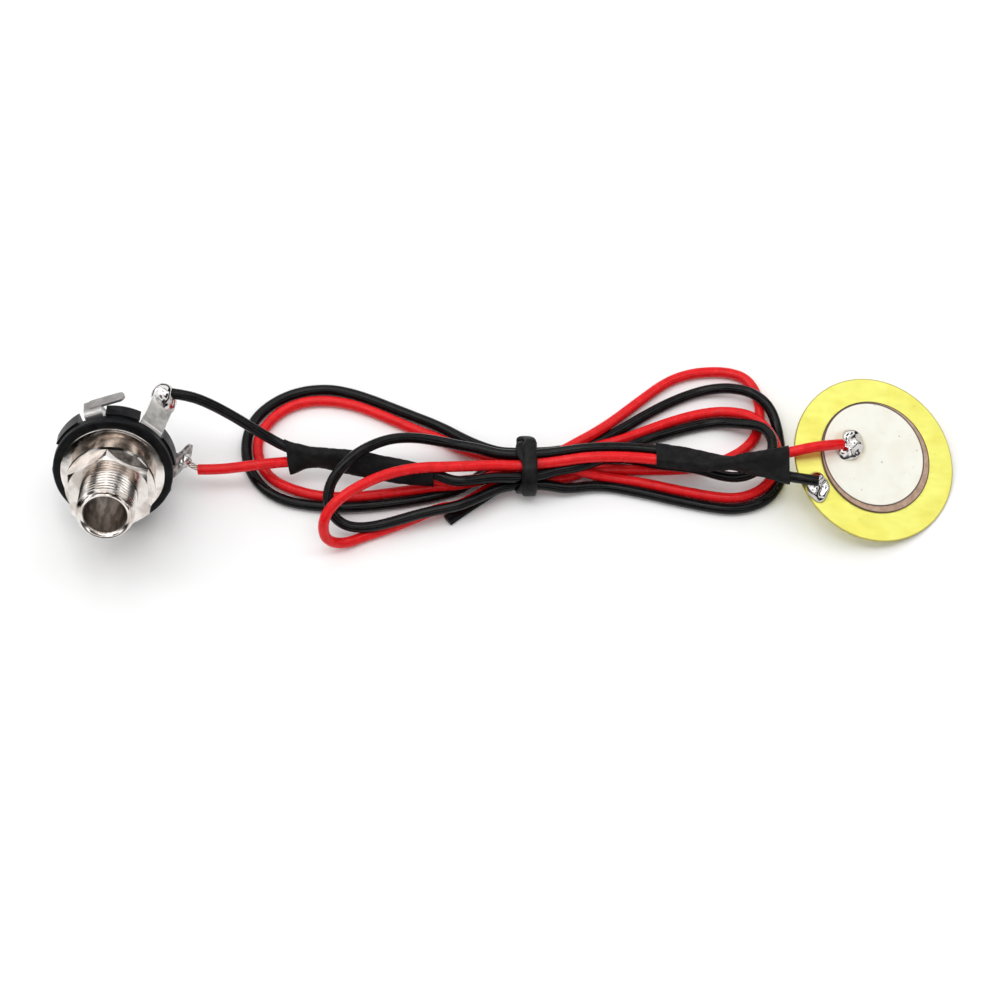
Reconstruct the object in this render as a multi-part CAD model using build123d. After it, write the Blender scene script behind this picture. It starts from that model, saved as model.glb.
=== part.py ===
from build123d import *
import os
from math import cos, hypot, pi, radians, sin, sqrt, tan

# A prewired contact pickup: a piezo disc, two leads in a tied hank and a quarter-inch panel jack.
# It lies as it comes to rest, the jack at the left (-X), the disc at the right (+X), +Z up.
# Lengths are in millimetres and angles in degrees. Clock angles run clockwise from 12 o'clock,
# seen from the jack's mouth.

# The whole pickup, from the jack's housing to the disc's far edge and from mouth to disc
overall_length = 141.7
overall_depth = 32.1

# Jack: how it lies and its threaded bushing
jack_rise = 27.5
plug_bore = 6.45
bushing_wall = 1.275
bushing_reach = 12.3
flange_rim = 3.65
flange_thickness = 1.0
flange_edge_round = 0.25
mouth_chamfer = 0.55
thread_end_chamfer = 0.4
tail_wall = 0.875
stake_overlap = 0.7
stake_thickness = 0.5

# Jack: nut and washer on the thread, with room for a panel behind them
panel_room = 3.3
washer_rim = 2.5
washer_thickness = 0.8
washer_clearance = 0.2
nut_wall = 1.6
nut_thickness = 2.2
nut_corner_chamfer = 0.35
thread_clearance = 0.03

# Jack: insulators
collar_rim = 1.16
collar_web = 1.0
collar_lip = 0.6
collar_edge_round = 0.35
housing_step = 0.29
housing_floor = 1.0
housing_wall = 1.75
housing_wall_reach = 1.2
notch_count = 6
notch_side_gap = 0.35
notch_depth = 1.3
wafer_overhang = 0.1
wafer_thickness = 0.8
hub_wall = 0.8
back_washer_rim = 1.4
back_washer_thickness = 0.6
stack_clearance = 0.04

# Jack: contacts, stamped from one sheet thickness
terminal_thickness = 0.45
terminal_ring_rim = 2.2
terminal_bend = 0.7
tag_width = 3.9
tag_hole = 1.5
tag_corner_share = 0.36
ground_clock = 42.0
ground_tag_back = 7.3
ground_tag_flare = 3.0
ring_clock = 342.0
ring_tag_back = 2.5
ring_tag_flare = 0.55
ring_tag_share = 0.75
ring_ear_width = 1.7
ring_ear_reach = 4.5
tip_clock = 102.0
tip_tag_back = 5.6
tip_tag_flare = 2.2
tag_notch_gap = 0.69
spring_width = 2.8
spring_wafer_gap = 0.48
spring_shoulder_gap = 0.5
spring_end_height = 1.2
spring_end_length = 1.8
ring_spring_clock = 162.0
ring_spring_back = 2.55
ring_spring_bite = 0.43
tip_spring_clock = 282.0
tip_spring_back = 8.05
tip_spring_bite = 0.83

# Disc
disc_diameter = 27.0
disc_thickness = 0.3
disc_tilt = 20.7
disc_turn = -31.8
brass_margin = 4.25
ceramic_thickness = 0.25
ceramic_offset = 0.4
electrode_margin = 0.65
electrode_thickness = 0.05
electrode_offset = 0.95
wafer_offset_turn = 100.0

# Solder
ground_solder_diameter = 3.7
ground_solder_inset = 0.75
tip_solder_diameter = 2.6
tip_solder_inset = 3.2
rim_solder_turn = 243.6
rim_solder_share = 0.47
rim_solder_height = 2.0
electrode_solder_inset = 4.35
electrode_solder_turn = 194.0
electrode_solder_radius = 2.0
electrode_solder_height = 1.5
electrode_lump_inset = 3.65
electrode_lump_turn = 171.0
electrode_lump_radius = 1.5
electrode_lump_height = 1.0

# Leads
lead_diameter = 1.7
strand_diameter = 0.8
strand_run = (2.55, -1.06, -1.12)
arc_share = 0.45
black_in_jack_sleeve = [
    (-34.9, 4.5, 6.0),
    (-31.9, 3.5, 5.7),
    (-29.0, 3.2, 5.65),
    (-23.6, 3.0, 5.15),
    (-17.0, 1.75, 4.75),
    (-11.5, 0.9, 4.6),
]
red_in_jack_sleeve = [
    (-34.9, 2.6, 4.5),
    (-31.9, 3.1, 3.95),
    (-29.0, 3.2, 3.85),
    (-23.6, 1.55, 4.05),
    (-17.0, 0.0, 4.35),
    (-11.5, -0.8, 4.2),
]
black_in_disc_sleeve = [
    (23.6, 4.5, 5.05),
    (29.5, 3.3, 5.2),
    (33.6, 2.1, 5.4),
    (37.7, 1.0, 5.95),
    (41.0, -0.8, 7.3),
    (44.2, -2.4, 8.4),
]
red_in_disc_sleeve = [
    (23.6, 2.75, 5.05),
    (29.5, 1.5, 5.65),
    (33.6, 0.8, 6.65),
    (37.7, 1.0, 7.95),
    (41.0, 0.9, 9.0),
    (44.2, 1.0, 10.15),
]
black_jack_route = [
    (-52.3, 8.6, 15.35),
    (-49.7, 8.5, 14.85),
    (-46.9, 8.2, 13.4),
    (-43.4, 7.4, 11.1),
    (-40.2, 6.6, 8.5),
    (-37.4, 5.6, 6.8),
    *black_in_jack_sleeve,
    (-6.4, 0.5, 4.6),
    (-1.8, 0.75, 4.65),
]
red_jack_route = [
    (-48.6, 1.4, 4.2),
    (-45.4, 1.2, 4.5),
    (-41.6, 1.5, 4.9),
    (-38.2, 2.0, 4.9),
    *red_in_jack_sleeve,
    (-6.4, -0.85, 3.45),
    (-1.8, -0.25, 3.1),
]
black_disc_route = [
    (8.2, 4.2, 4.65),
    (13.0, 5.1, 4.75),
    (18.4, 5.1, 4.9),
    *black_in_disc_sleeve,
    (46.4, -3.1, 8.9),
    (48.6, -3.4, 8.8),
]
red_disc_route = [
    (8.2, 2.45, 4.65),
    (13.0, 3.35, 4.75),
    (18.4, 3.35, 4.9),
    *red_in_disc_sleeve,
    (47.7, 1.7, 10.5),
    (50.6, 2.6, 9.7),
    (52.6, 3.4, 8.6),
]

# Heat-shrink sleeves, wider at the end towards the jack or the disc
sleeve_wall = 0.4
sleeve_mouth_growth = 0.5
sleeve_mouth_depth = 1.6
sleeve_mouth_wall = 0.3

# Hank: the bundled middle and the loops either side of it
waist_x = 3.2
waist_y = 2.5
waist_length = 10.0
waist_width = 7.0
waist_height = 4.7
loop_height = 2.4
loop_edge_round = 0.6
loop_root_offset = 5.4
loop_root_radius = 2.8
outer_left_loop = (-31.0, 6.9, 11.2)
outer_left_gap = (-31.0, 6.9, 7.2)
inner_left_loop = (-24.2, -6.2, 4.3)
inner_left_gap = (-23.6, -5.6, 1.2)
right_loop = (30.4, 8.8, 13.9)
right_gap = (32.0, 3.6, 4.6)
gap_root_offset = 12.0
gap_root_radius = 0.8

# Tie: two turns of a flat strip round the waist, with its cut tail under the hank
tie_side_room = 0.1
tie_thickness = 0.85
tie_width = 3.3
tie_groove_width = 0.45
tie_groove_depth = 0.3
tie_tail_width = 2.3
tie_tail_length = 14.5
tie_tail_turn = 209.0
tie_tail_clearance = 0.1

# Cuts run past the faces that they open by this much
overrun = 1.0
match_tolerance = 1e-4

# Radii in the jack, from the plug's bore outwards
bore_radius = plug_bore / 2
thread_radius = bore_radius + bushing_wall
mouth_rim_radius = thread_radius - thread_end_chamfer
nut_half = thread_radius + nut_wall
washer_radius = thread_radius + washer_rim
flange_radius = thread_radius + flange_rim
collar_radius = flange_radius + stack_clearance + collar_rim
housing_radius = collar_radius + housing_step
tail_radius = bore_radius + tail_wall
tail_hole_radius = tail_radius + stack_clearance
hub_radius = tail_radius + hub_wall
back_washer_radius = tail_radius + back_washer_rim
terminal_ring_radius = tail_radius + terminal_ring_rim
wafer_radius = terminal_ring_radius + wafer_overhang
notch_root_radius = housing_radius - notch_depth
tag_root_radius = notch_root_radius + tag_notch_gap + terminal_thickness / 2
spring_root_radius = wafer_radius + spring_wafer_gap + terminal_thickness / 2

# Levels of the jack's stack along its axis, from the flange's front face at zero
level_flange_back = -flange_thickness
level_collar_front = level_flange_back + collar_lip
level_collar_back = level_flange_back - collar_web
level_ground_back = level_collar_back - terminal_thickness
level_floor_back = level_ground_back - housing_floor
level_ring_back = level_floor_back - terminal_thickness
level_wafer_back = level_ring_back - wafer_thickness
level_tip_back = level_wafer_back - terminal_thickness
level_back_wafer_back = level_tip_back - wafer_thickness
level_washer_back = level_back_wafer_back - back_washer_thickness
level_tail_end = level_washer_back - stake_thickness
level_housing_back = level_floor_back - housing_wall_reach

# Where the jack and the disc lie
rise_cos = cos(radians(jack_rise))
rise_sin = sin(radians(jack_rise))
jack_x = housing_radius - overall_length / 2
jack_y = bushing_reach * rise_cos + mouth_rim_radius * rise_sin - overall_depth / 2
jack_z = housing_radius * rise_cos - level_housing_back * rise_sin
jack_place = Pos(jack_x, jack_y, jack_z) * Rot(X=90 - jack_rise)

disc_radius = disc_diameter / 2
lean_x = sin(radians(disc_tilt)) * cos(radians(disc_turn))
lean_y = sin(radians(disc_tilt)) * sin(radians(disc_turn))
disc_x = overall_length / 2 - disc_radius * sqrt(1 - lean_x**2) - disc_thickness * lean_x
disc_y = overall_depth / 2 - disc_radius * sqrt(1 - lean_y**2)
disc_z = disc_radius * sin(radians(disc_tilt))
disc_place = Pos(disc_x, disc_y, disc_z) * Rot(Z=disc_turn) * Rot(Y=disc_tilt)
upright = (Align.CENTER, Align.CENTER, Align.MIN)


def write(name, shape):
    """Save one piece under its own name."""
    shape.label = name
    export_step(shape, f"parts/{name}.step")


def clock(angle):
    """Turn from the +X side to a clock angle, seen from the jack's mouth."""
    return Rot(Z=90 - angle)


def slab(radius, top, bottom):
    """A round slab on the jack's axis between two levels."""
    return Pos(Z=(top + bottom) / 2) * Cylinder(radius, top - bottom)


def bushing():
    """Threaded sleeve with its flange, chamfered mouth and a tail staked over the stack."""
    stake_radius = tail_radius + stake_overlap
    section = Polyline(
        (bore_radius, level_tail_end),
        (stake_radius, level_tail_end),
        (stake_radius, level_washer_back),
        (tail_radius, level_washer_back),
        (tail_radius, level_flange_back),
        (flange_radius, level_flange_back),
        (flange_radius, 0),
        (thread_radius, 0),
        (thread_radius, bushing_reach - thread_end_chamfer),
        (mouth_rim_radius, bushing_reach),
        (bore_radius + mouth_chamfer, bushing_reach),
        (bore_radius, bushing_reach - mouth_chamfer),
        close=True,
    )
    body = revolve(Plane.XZ * make_face(section), Axis.Z)
    rim = body.edges().filter_by(GeomType.CIRCLE).group_by(lambda edge: edge.radius)[-1]
    return fillet(rim, flange_edge_round)


def nut():
    """Hex nut with its corners chamfered round on the front."""
    blank = RegularPolygon(nut_half, 6, major_radius=False, rotation=30)
    body = extrude(blank, nut_thickness)
    corner_radius = nut_half / cos(radians(30))
    cone_height = corner_radius * tan(radians(30))
    crown_level = nut_thickness - nut_corner_chamfer
    crown = Pos(Z=crown_level) * Cone(corner_radius, 0, cone_height, align=upright)
    body = body & (Cylinder(corner_radius, crown_level, align=upright) + crown)
    return body - slab(thread_radius + thread_clearance, nut_thickness + overrun, -overrun)


def collar():
    """Black ring with a lip that the flange drops into."""
    body = slab(collar_radius, level_collar_front, level_collar_back)
    front = body.edges().filter_by(GeomType.CIRCLE).sort_by(Axis.Z)[-1]
    body = fillet(front, collar_edge_round)
    body -= slab(flange_radius + stack_clearance, level_collar_front + overrun, level_flange_back)
    return body - slab(tail_hole_radius, overrun, level_collar_back - overrun)


def housing():
    """Notched insulator: a floor with a castellated wall, and a seat for the ground terminal."""
    body = slab(housing_radius, level_collar_back, level_housing_back)
    body -= slab(housing_radius - housing_wall, level_floor_back, level_housing_back - overrun)
    body -= slab(tail_hole_radius, overrun, level_housing_back - overrun)
    seat_radius = terminal_ring_radius + stack_clearance
    body -= slab(seat_radius, level_collar_back + overrun, level_ground_back)
    channel_width = tag_width + 2 * stack_clearance
    channel_top = level_collar_back + overrun
    channel = Pos(housing_radius / 2, 0, (channel_top + level_ground_back) / 2) * Box(
        housing_radius, channel_width, channel_top - level_ground_back
    )
    body -= clock(ground_clock) * channel
    notch_width = tag_width + 2 * notch_side_gap
    notch_height = level_collar_back - level_housing_back + 2 * overrun
    notch_middle = (level_collar_back + level_housing_back) / 2
    notch = Pos(notch_root_radius + housing_radius / 2, 0, notch_middle) * Box(
        housing_radius, notch_width, notch_height
    )
    gate_height = level_floor_back - level_housing_back + overrun
    gate = Pos(housing_radius / 2 + seat_radius, 0, level_floor_back - gate_height / 2) * Box(
        housing_radius, notch_width, gate_height
    )
    for place in range(notch_count):
        body -= clock(ground_clock + place * 360 / notch_count) * (notch + gate)
    return body


def strip(points, bends, width):
    """A bent strip of the terminals' sheet, drawn in the radius and axis plane."""
    face = trace(FilletPolyline(*points, radius=bends), line_width=terminal_thickness)
    return extrude(Plane.XZ * face, amount=width / 2, both=True)


def round_far_end(body, corner):
    """Round the corners of a strip's far end."""
    short_edges = [edge for edge in body.edges() if abs(edge.length - terminal_thickness) < match_tolerance]
    far_edges = sorted(short_edges, key=lambda edge: edge.center().Z)[:2]
    return fillet(far_edges, corner)


def solder_tag(level, back, flare):
    """A solder tag that leaves its ring, bends at the housing's edge and runs back."""
    end = (tag_root_radius + flare, level - back)
    points = [(hub_radius + terminal_thickness, level), (tag_root_radius, level), end]
    body = round_far_end(strip(points, [terminal_bend], tag_width), tag_width * tag_corner_share)
    run = hypot(flare, back)
    hole_place = Plane(
        origin=(end[0] - flare / run * tag_width / 2, 0, end[1] + back / run * tag_width / 2),
        z_dir=(back, 0, flare),
    )
    return body - hole_place * Cylinder(tag_hole / 2, terminal_thickness + overrun)


def contact_spring(level, back, bite):
    """A spring arm that runs back past the tail and in to bear on the plug, its end turned out."""
    touch_radius = bore_radius - bite
    touch_level = level_tail_end - back
    end = (touch_radius + spring_end_height, touch_level - spring_end_length)
    points = [
        (hub_radius + terminal_thickness, level),
        (spring_root_radius, level),
        (spring_root_radius, level_tail_end - spring_shoulder_gap),
        (touch_radius, touch_level),
        end,
    ]
    return strip(points, [terminal_bend, terminal_bend, terminal_bend], spring_width)


def on_tag(angle, front_level, back, flare, inset):
    """The point on a solder tag's middle a given way in from its end."""
    run = hypot(flare, back)
    radius = tag_root_radius + flare - inset * flare / run
    level = front_level - terminal_thickness / 2 - back + inset * back / run
    return (jack_place * clock(angle) * Pos(radius, 0, level)).position


def terminal_ring(front_level, hole_radius):
    """The washer-shaped middle of a terminal."""
    ring = slab(terminal_ring_radius, front_level, front_level - terminal_thickness)
    return ring - slab(hole_radius, front_level + overrun, front_level - terminal_thickness - overrun)


def ground_terminal():
    """Ring clamped on the bushing's tail, with one solder tag."""
    middle = level_collar_back - terminal_thickness / 2
    tag = solder_tag(middle, ground_tag_back, ground_tag_flare)
    return terminal_ring(level_collar_back, tail_hole_radius) + clock(ground_clock) * tag


def ring_terminal():
    """Ring with an unused tag, whose end turns aside into a round ear, and a short spring."""
    middle = level_floor_back - terminal_thickness / 2
    end = (tag_root_radius + ring_tag_flare, middle - ring_tag_back)
    points = [(hub_radius + terminal_thickness, middle), (tag_root_radius, middle), end]
    tag = strip(points, [terminal_bend], tag_width * ring_tag_share)
    ear_sketch = Pos(ring_ear_reach / 2, 0) * SlotOverall(ring_ear_reach + ring_ear_width, ring_ear_width)
    ear = extrude(ear_sketch, terminal_thickness / 2, both=True)
    ear_place = Plane(
        origin=(end[0], 0, end[1] + ring_ear_width / 2),
        x_dir=(0, -1, 0),
        z_dir=(ring_tag_back, 0, ring_tag_flare),
    )
    tag += ear_place * ear
    spring = contact_spring(middle, ring_spring_back, ring_spring_bite)
    body = terminal_ring(level_floor_back, hub_radius + stack_clearance)
    return body + clock(ring_clock) * tag + clock(ring_spring_clock) * spring


def tip_terminal():
    """Ring with the tip's solder tag and its long contact spring."""
    middle = level_wafer_back - terminal_thickness / 2
    tag = solder_tag(middle, tip_tag_back, tip_tag_flare)
    spring = contact_spring(middle, tip_spring_back, tip_spring_bite)
    body = terminal_ring(level_wafer_back, hub_radius + stack_clearance)
    return body + clock(tip_clock) * tag + clock(tip_spring_clock) * spring


def insulating_wafer(front_level):
    """Round insulator with a hub that keeps the terminal in front of it off the bushing's tail."""
    body = slab(wafer_radius, front_level, front_level - wafer_thickness)
    body += slab(hub_radius, front_level + terminal_thickness, front_level)
    bore_top = front_level + terminal_thickness + overrun
    bore_bottom = front_level - wafer_thickness - overrun
    return body - slab(tail_hole_radius, bore_top, bore_bottom)


def cord_tube(name, route):
    """A round lead along straight runs joined by arcs as large as the runs allow."""
    points = [Vector(*point) for point in route]
    radii = []
    for before, corner, after in zip(points, points[1:], points[2:]):
        run_in = corner - before
        run_out = after - corner
        half_turn = radians(run_in.get_angle(run_out)) / 2
        radii.append(arc_share * min(run_in.length, run_out.length) / tan(half_turn))
    path = FilletPolyline(*points, radius=radii)
    section = Plane(origin=path @ 0, z_dir=path % 0) * Circle(lead_diameter / 2)
    tube = sweep(section, path)
    expected = pi * (lead_diameter / 2) ** 2 * path.length
    print(name, "length", round(path.length, 1), "smallest radius", round(min(radii), 1))
    print("  volume", round(tube.volume, 2), "section times length", round(expected, 2))
    return tube


def sleeve_section(black, red, wall):
    """Round-ended section, square to X, round one point of each lead."""
    apart = black - red
    place = Plane(origin=(black + red) / 2, x_dir=apart, z_dir=(1, 0, 0))
    short_side = lead_diameter + 2 * wall
    return place * SlotOverall(apart.length + short_side, short_side)


def sleeve(black_points, red_points, leads):
    """Heat-shrink sleeve drawn down on its two leads, its first end left wide and open."""
    pairs = [(Vector(*black), Vector(*red)) for black, red in zip(black_points, red_points)]
    walls = [sleeve_wall + sleeve_mouth_growth / 2] + [sleeve_wall] * (len(pairs) - 1)
    sections = [sleeve_section(black, red, wall) for (black, red), wall in zip(pairs, walls)]
    body = loft(sections, ruled=True)
    for lead in leads:
        body -= lead
    mouth = sleeve_section(*pairs[0], walls[0] - sleeve_mouth_wall)
    return body - extrude(mouth, sleeve_mouth_depth, both=True)


def loop_outline(end, root_x, root_radius):
    """Teardrop outline from the waist to the end of a loop."""
    end_x, end_y, end_radius = end
    end_circle = Pos(end_x, end_y) * Circle(end_radius)
    root_circle = Pos(root_x, waist_y) * Circle(root_radius)
    return make_hull(end_circle.edges() + root_circle.edges())


def hank_loop(side, end, gap):
    """One flat loop of the hank, open in the middle."""
    outline = loop_outline(end, waist_x + side * loop_root_offset, loop_root_radius)
    opening = loop_outline(gap, waist_x + side * gap_root_offset, gap_root_radius)
    body = extrude(outline, loop_height)
    body = fillet(body.faces().sort_by(Axis.Z)[-1].edges(), loop_edge_round)
    return body - extrude(opening, loop_height + overrun)


def waist_section(growth):
    """Round-ended section of the bundled middle, grown all round."""
    level = waist_height / 2 + tie_thickness
    place = Plane(origin=(waist_x, waist_y, level), x_dir=(0, 1, 0), z_dir=(1, 0, 0))
    return place * SlotOverall(waist_width + 2 * growth, waist_height + 2 * growth)


def tie_tail(growth):
    """The tie's cut tail, flat under the hank, grown to the sides and above."""
    height = tie_thickness + growth
    tail = Pos(tie_tail_length / 2, 0, height / 2) * Box(
        tie_tail_length + 2 * growth, tie_tail_width + 2 * growth, height
    )
    return Pos(waist_x, waist_y - tie_tail_width / 2) * Rot(Z=tie_tail_turn) * tail


def wire_tie():
    """Two close turns round the waist, and the tail."""
    band = extrude(waist_section(tie_thickness), tie_width / 2, both=True)
    groove = extrude(waist_section(tie_thickness + overrun), tie_groove_width / 2, both=True)
    groove -= extrude(waist_section(tie_thickness - tie_groove_depth), tie_groove_width, both=True)
    band = band - groove + tie_tail(0)
    return band - extrude(waist_section(0), tie_width, both=True)


def hank():
    """The wound middle of both leads: one closed solid of its outer shape."""
    body = extrude(waist_section(0), waist_length / 2, both=True)
    body += hank_loop(-1, outer_left_loop, outer_left_gap)
    body += hank_loop(-1, inner_left_loop, inner_left_gap)
    body += hank_loop(1, right_loop, right_gap)
    room = extrude(waist_section(tie_thickness + overrun), tie_width / 2 + tie_side_room, both=True)
    core = extrude(waist_section(0), waist_length / 2, both=True)
    return (body - room + core) - tie_tail(tie_tail_clearance)


def solder_dome(base_radius, height):
    """A ball-topped drop of solder on a flat face."""
    ball_radius = (base_radius**2 + height**2) / (2 * height)
    ball = Pos(Z=height - ball_radius) * Sphere(ball_radius)
    return split(ball, bisect_by=Plane.XY, keep=Keep.TOP)


def on_disc(radius, turn, level):
    """A place on the disc, by distance and turn about its centre and height over its back."""
    return disc_place * Rot(Z=turn) * Pos(radius, 0, level)


os.makedirs("parts", exist_ok=True)

# Leads
black_jack_lead = cord_tube("black_jack_lead", black_jack_route)
red_jack_lead = cord_tube("red_jack_lead", red_jack_route)
black_disc_lead = cord_tube("black_disc_lead", black_disc_route)
red_disc_lead = cord_tube("red_disc_lead", red_disc_route)
write("black_jack_lead", black_jack_lead)
write("red_jack_lead", red_jack_lead)
write("black_disc_lead", black_disc_lead)
write("red_disc_lead", red_disc_lead)
jack_leads = (black_jack_lead, red_jack_lead)
disc_leads = (black_disc_lead, red_disc_lead)
write("jack_sleeve", sleeve(black_in_jack_sleeve, red_in_jack_sleeve, jack_leads))
write("disc_sleeve", sleeve(black_in_disc_sleeve[::-1], red_in_disc_sleeve[::-1], disc_leads))
write("lead_hank", hank() - black_jack_lead - red_jack_lead - black_disc_lead - red_disc_lead)
write("wire_tie", wire_tie())

# Jack
washer_level = panel_room
nut_level = washer_level + washer_thickness
washer = slab(washer_radius, nut_level, washer_level)
washer -= slab(thread_radius + washer_clearance, nut_level + overrun, washer_level - overrun)
back_washer = slab(back_washer_radius, level_back_wafer_back, level_washer_back)
back_washer -= slab(tail_hole_radius, overrun, level_washer_back - overrun)
ground = jack_place * ground_terminal()
tip = jack_place * tip_terminal()
write("jack_bushing", jack_place * bushing())
write("panel_washer", jack_place * washer)
write("panel_nut", jack_place * Pos(Z=nut_level) * nut())
write("jack_collar", jack_place * collar())
write("jack_housing", jack_place * housing())
write("ground_terminal", ground)
write("ring_terminal", jack_place * ring_terminal())
write("contact_wafer", jack_place * insulating_wafer(level_ring_back))
write("tip_terminal", tip)
write("back_wafer", jack_place * insulating_wafer(level_tip_back))
write("back_washer", jack_place * back_washer)

# Solder and bare strands at the jack
joint = on_tag(ground_clock, level_collar_back, ground_tag_back, ground_tag_flare, ground_solder_inset)
ground_ball = Pos(joint) * Rot(X=90 - jack_rise) * Sphere(ground_solder_diameter / 2)
write("ground_solder", ground_ball - ground - black_jack_lead)

tip_hole = on_tag(tip_clock, level_wafer_back, tip_tag_back, tip_tag_flare, tip_solder_inset)
strand_place = Plane(origin=tip_hole, z_dir=strand_run)
strands = strand_place * extrude(Circle(strand_diameter / 2), Vector(*strand_run).length)
strands = strands - tip - red_jack_lead
write("tip_strands", strands)
tip_ball = Pos(tip_hole) * Sphere(tip_solder_diameter / 2)
write("tip_solder", tip_ball - tip - strands - red_jack_lead)

# Disc
ceramic_level = disc_thickness
electrode_level = ceramic_level + ceramic_thickness
top_level = electrode_level + electrode_thickness
brass = Cylinder(disc_radius, disc_thickness, align=upright)
ceramic_radius = disc_radius - brass_margin
ceramic = Cylinder(ceramic_radius, ceramic_thickness, align=upright)
electrode = Cylinder(ceramic_radius - electrode_margin, electrode_thickness, align=upright)
write("brass_disc", disc_place * brass)
write("piezo_ceramic", on_disc(ceramic_offset, wafer_offset_turn, ceramic_level) * ceramic)
write("silver_electrode", on_disc(electrode_offset, wafer_offset_turn, electrode_level) * electrode)
rim_place = disc_radius - brass_margin / 2
rim_drop = solder_dome(brass_margin * rim_solder_share, rim_solder_height)
write("rim_solder", on_disc(rim_place, rim_solder_turn, disc_thickness) * rim_drop - black_disc_lead)
drop = on_disc(ceramic_radius - electrode_solder_inset, electrode_solder_turn, top_level) * solder_dome(
    electrode_solder_radius, electrode_solder_height
)
drop += on_disc(ceramic_radius - electrode_lump_inset, electrode_lump_turn, top_level) * solder_dome(
    electrode_lump_radius, electrode_lump_height
)
write("electrode_solder", drop - red_disc_lead)
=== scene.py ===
import math
import bmesh
import bpy
from mathutils import Matrix, Vector, noise


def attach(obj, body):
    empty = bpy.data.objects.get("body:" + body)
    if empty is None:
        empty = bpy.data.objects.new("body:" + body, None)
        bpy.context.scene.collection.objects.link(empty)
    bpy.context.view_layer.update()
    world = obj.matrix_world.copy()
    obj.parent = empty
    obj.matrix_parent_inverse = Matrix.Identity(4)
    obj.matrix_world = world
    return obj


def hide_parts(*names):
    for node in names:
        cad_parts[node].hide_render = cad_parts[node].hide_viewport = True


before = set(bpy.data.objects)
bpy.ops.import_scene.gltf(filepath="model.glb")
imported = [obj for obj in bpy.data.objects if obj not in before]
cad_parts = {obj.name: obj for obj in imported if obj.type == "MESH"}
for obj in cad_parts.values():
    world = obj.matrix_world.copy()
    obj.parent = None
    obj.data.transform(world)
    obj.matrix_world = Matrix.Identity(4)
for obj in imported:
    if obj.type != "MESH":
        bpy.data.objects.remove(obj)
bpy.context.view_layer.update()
scene = bpy.context.scene
MM = 0.001

# Sizes, in millimetres and degrees. Those of the jack, disc and tie are the solids' own.

lead_diameter = 1.7
bare_strand_diameter = 0.26

jack_rise = 27.5
jack_face = (-61.21, -3.247, 10.698)
bore_radius = 3.225
mouth_level = 12.3
thread_root, thread_crest = 4.0, 4.5
thread_pitch = 0.75
thread_turns = 15

disc_turn = -31.8
disc_tilt = 20.7
disc_middle = (57.883, 2.786, 4.772)
disc_radius = 13.5
wafer_radius = 9.14
silver_radius = 8.58

waist_middle = (3.2, 2.5, 3.2)
waist_width = 7.0
waist_height = 4.7
strip_width, strip_thickness = 1.6, 0.62
tail_width, tail_thickness = 1.95, 0.82

jack = Matrix.Translation(jack_face) @ Matrix.Rotation(math.radians(90 - jack_rise), 4, "X")
disc = (
    Matrix.Translation(disc_middle)
    @ Matrix.Rotation(math.radians(disc_turn), 4, "Z")
    @ Matrix.Rotation(math.radians(disc_tilt), 4, "Y")
)


def on_disc(radius, turn, level):
    """A place over the disc's face, by distance and turn about its middle."""
    a = math.radians(turn)
    return disc @ Vector((radius * math.cos(a), radius * math.sin(a), level))


def on_tag(clock, radius, across, level):
    """A place at the jack, by clock angle, distance from its axis and level."""
    a = math.radians(clock)
    out = Vector((math.sin(a), math.cos(a), 0))
    along = Vector((math.cos(a), -math.sin(a), 0))
    return jack @ (out * radius + along * across + Vector((0, 0, level)))


mouthward = tuple(jack.to_3x3() @ Vector((0, 0, 1)))
jack_mouth = jack @ Vector((0, 0, mouth_level))
wafer_middle = on_disc(0.4, 100, 0.5)
silver_middle = disc @ Vector((-0.56, 0.55, 0.6))
ground_joint_middle = on_tag(42, 11.35, 0.1, -8.5)
tip_joint_middle = on_tag(102, 10.35, 0, -7.6)
electrode_joint_middle = on_disc(4.6, 191, 0.6)
rim_joint_middle = on_disc(11.4, 243.6, 0.3)

# Camera: above and in front of the tie

lens = bpy.data.cameras.new("camera")
lens.sensor_width = 36
lens.lens = 118.8
camera = bpy.data.objects.new("camera", lens)
camera.location = (-0.87 * MM, -263.65 * MM, 453.33 * MM)
camera.rotation_euler = (math.radians(30), 0, 0)
scene.collection.objects.link(camera)
scene.camera = camera

# Finishes


class Sock:
    """A socket of a shader node, used as a number in plain arithmetic."""

    def __init__(self, nodes, socket):
        self.nodes, self.socket = nodes, socket

    def math(self, operation, one, other):
        return self.nodes.node("ShaderNodeMath", {"operation": operation}, {0: one, 1: other})

    def __add__(self, other):
        return self.math("ADD", self, other)

    def __radd__(self, other):
        return self.math("ADD", other, self)

    def __sub__(self, other):
        return self.math("SUBTRACT", self, other)

    def __rsub__(self, other):
        return self.math("SUBTRACT", other, self)

    def __mul__(self, other):
        return self.math("MULTIPLY", self, other)

    def __rmul__(self, other):
        return self.math("MULTIPLY", other, self)

    def __truediv__(self, other):
        return self.math("DIVIDE", self, other)

    def __rtruediv__(self, other):
        return self.math("DIVIDE", other, self)


class Nodes:
    """Adds nodes to a tree and hands back their sockets."""

    def __init__(self, tree):
        self.tree = tree

    def node(self, kind, settings, values, output=0):
        made = self.tree.nodes.new(kind)
        for key, value in settings.items():
            setattr(made, key, value)
        for key, value in values.items():
            if isinstance(value, Sock):
                self.tree.links.new(value.socket, made.inputs[key])
            else:
                made.inputs[key].default_value = value
        return Sock(self, made.outputs[output])

    def ramp(self, value, low, high, start=0.0, end=1.0):
        """A smooth step from start to end as the value goes from low to high."""
        values = {"Value": value, "From Min": low, "From Max": high, "To Min": start, "To Max": end}
        return self.node("ShaderNodeMapRange", {"interpolation_type": "SMOOTHSTEP"}, values)


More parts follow.
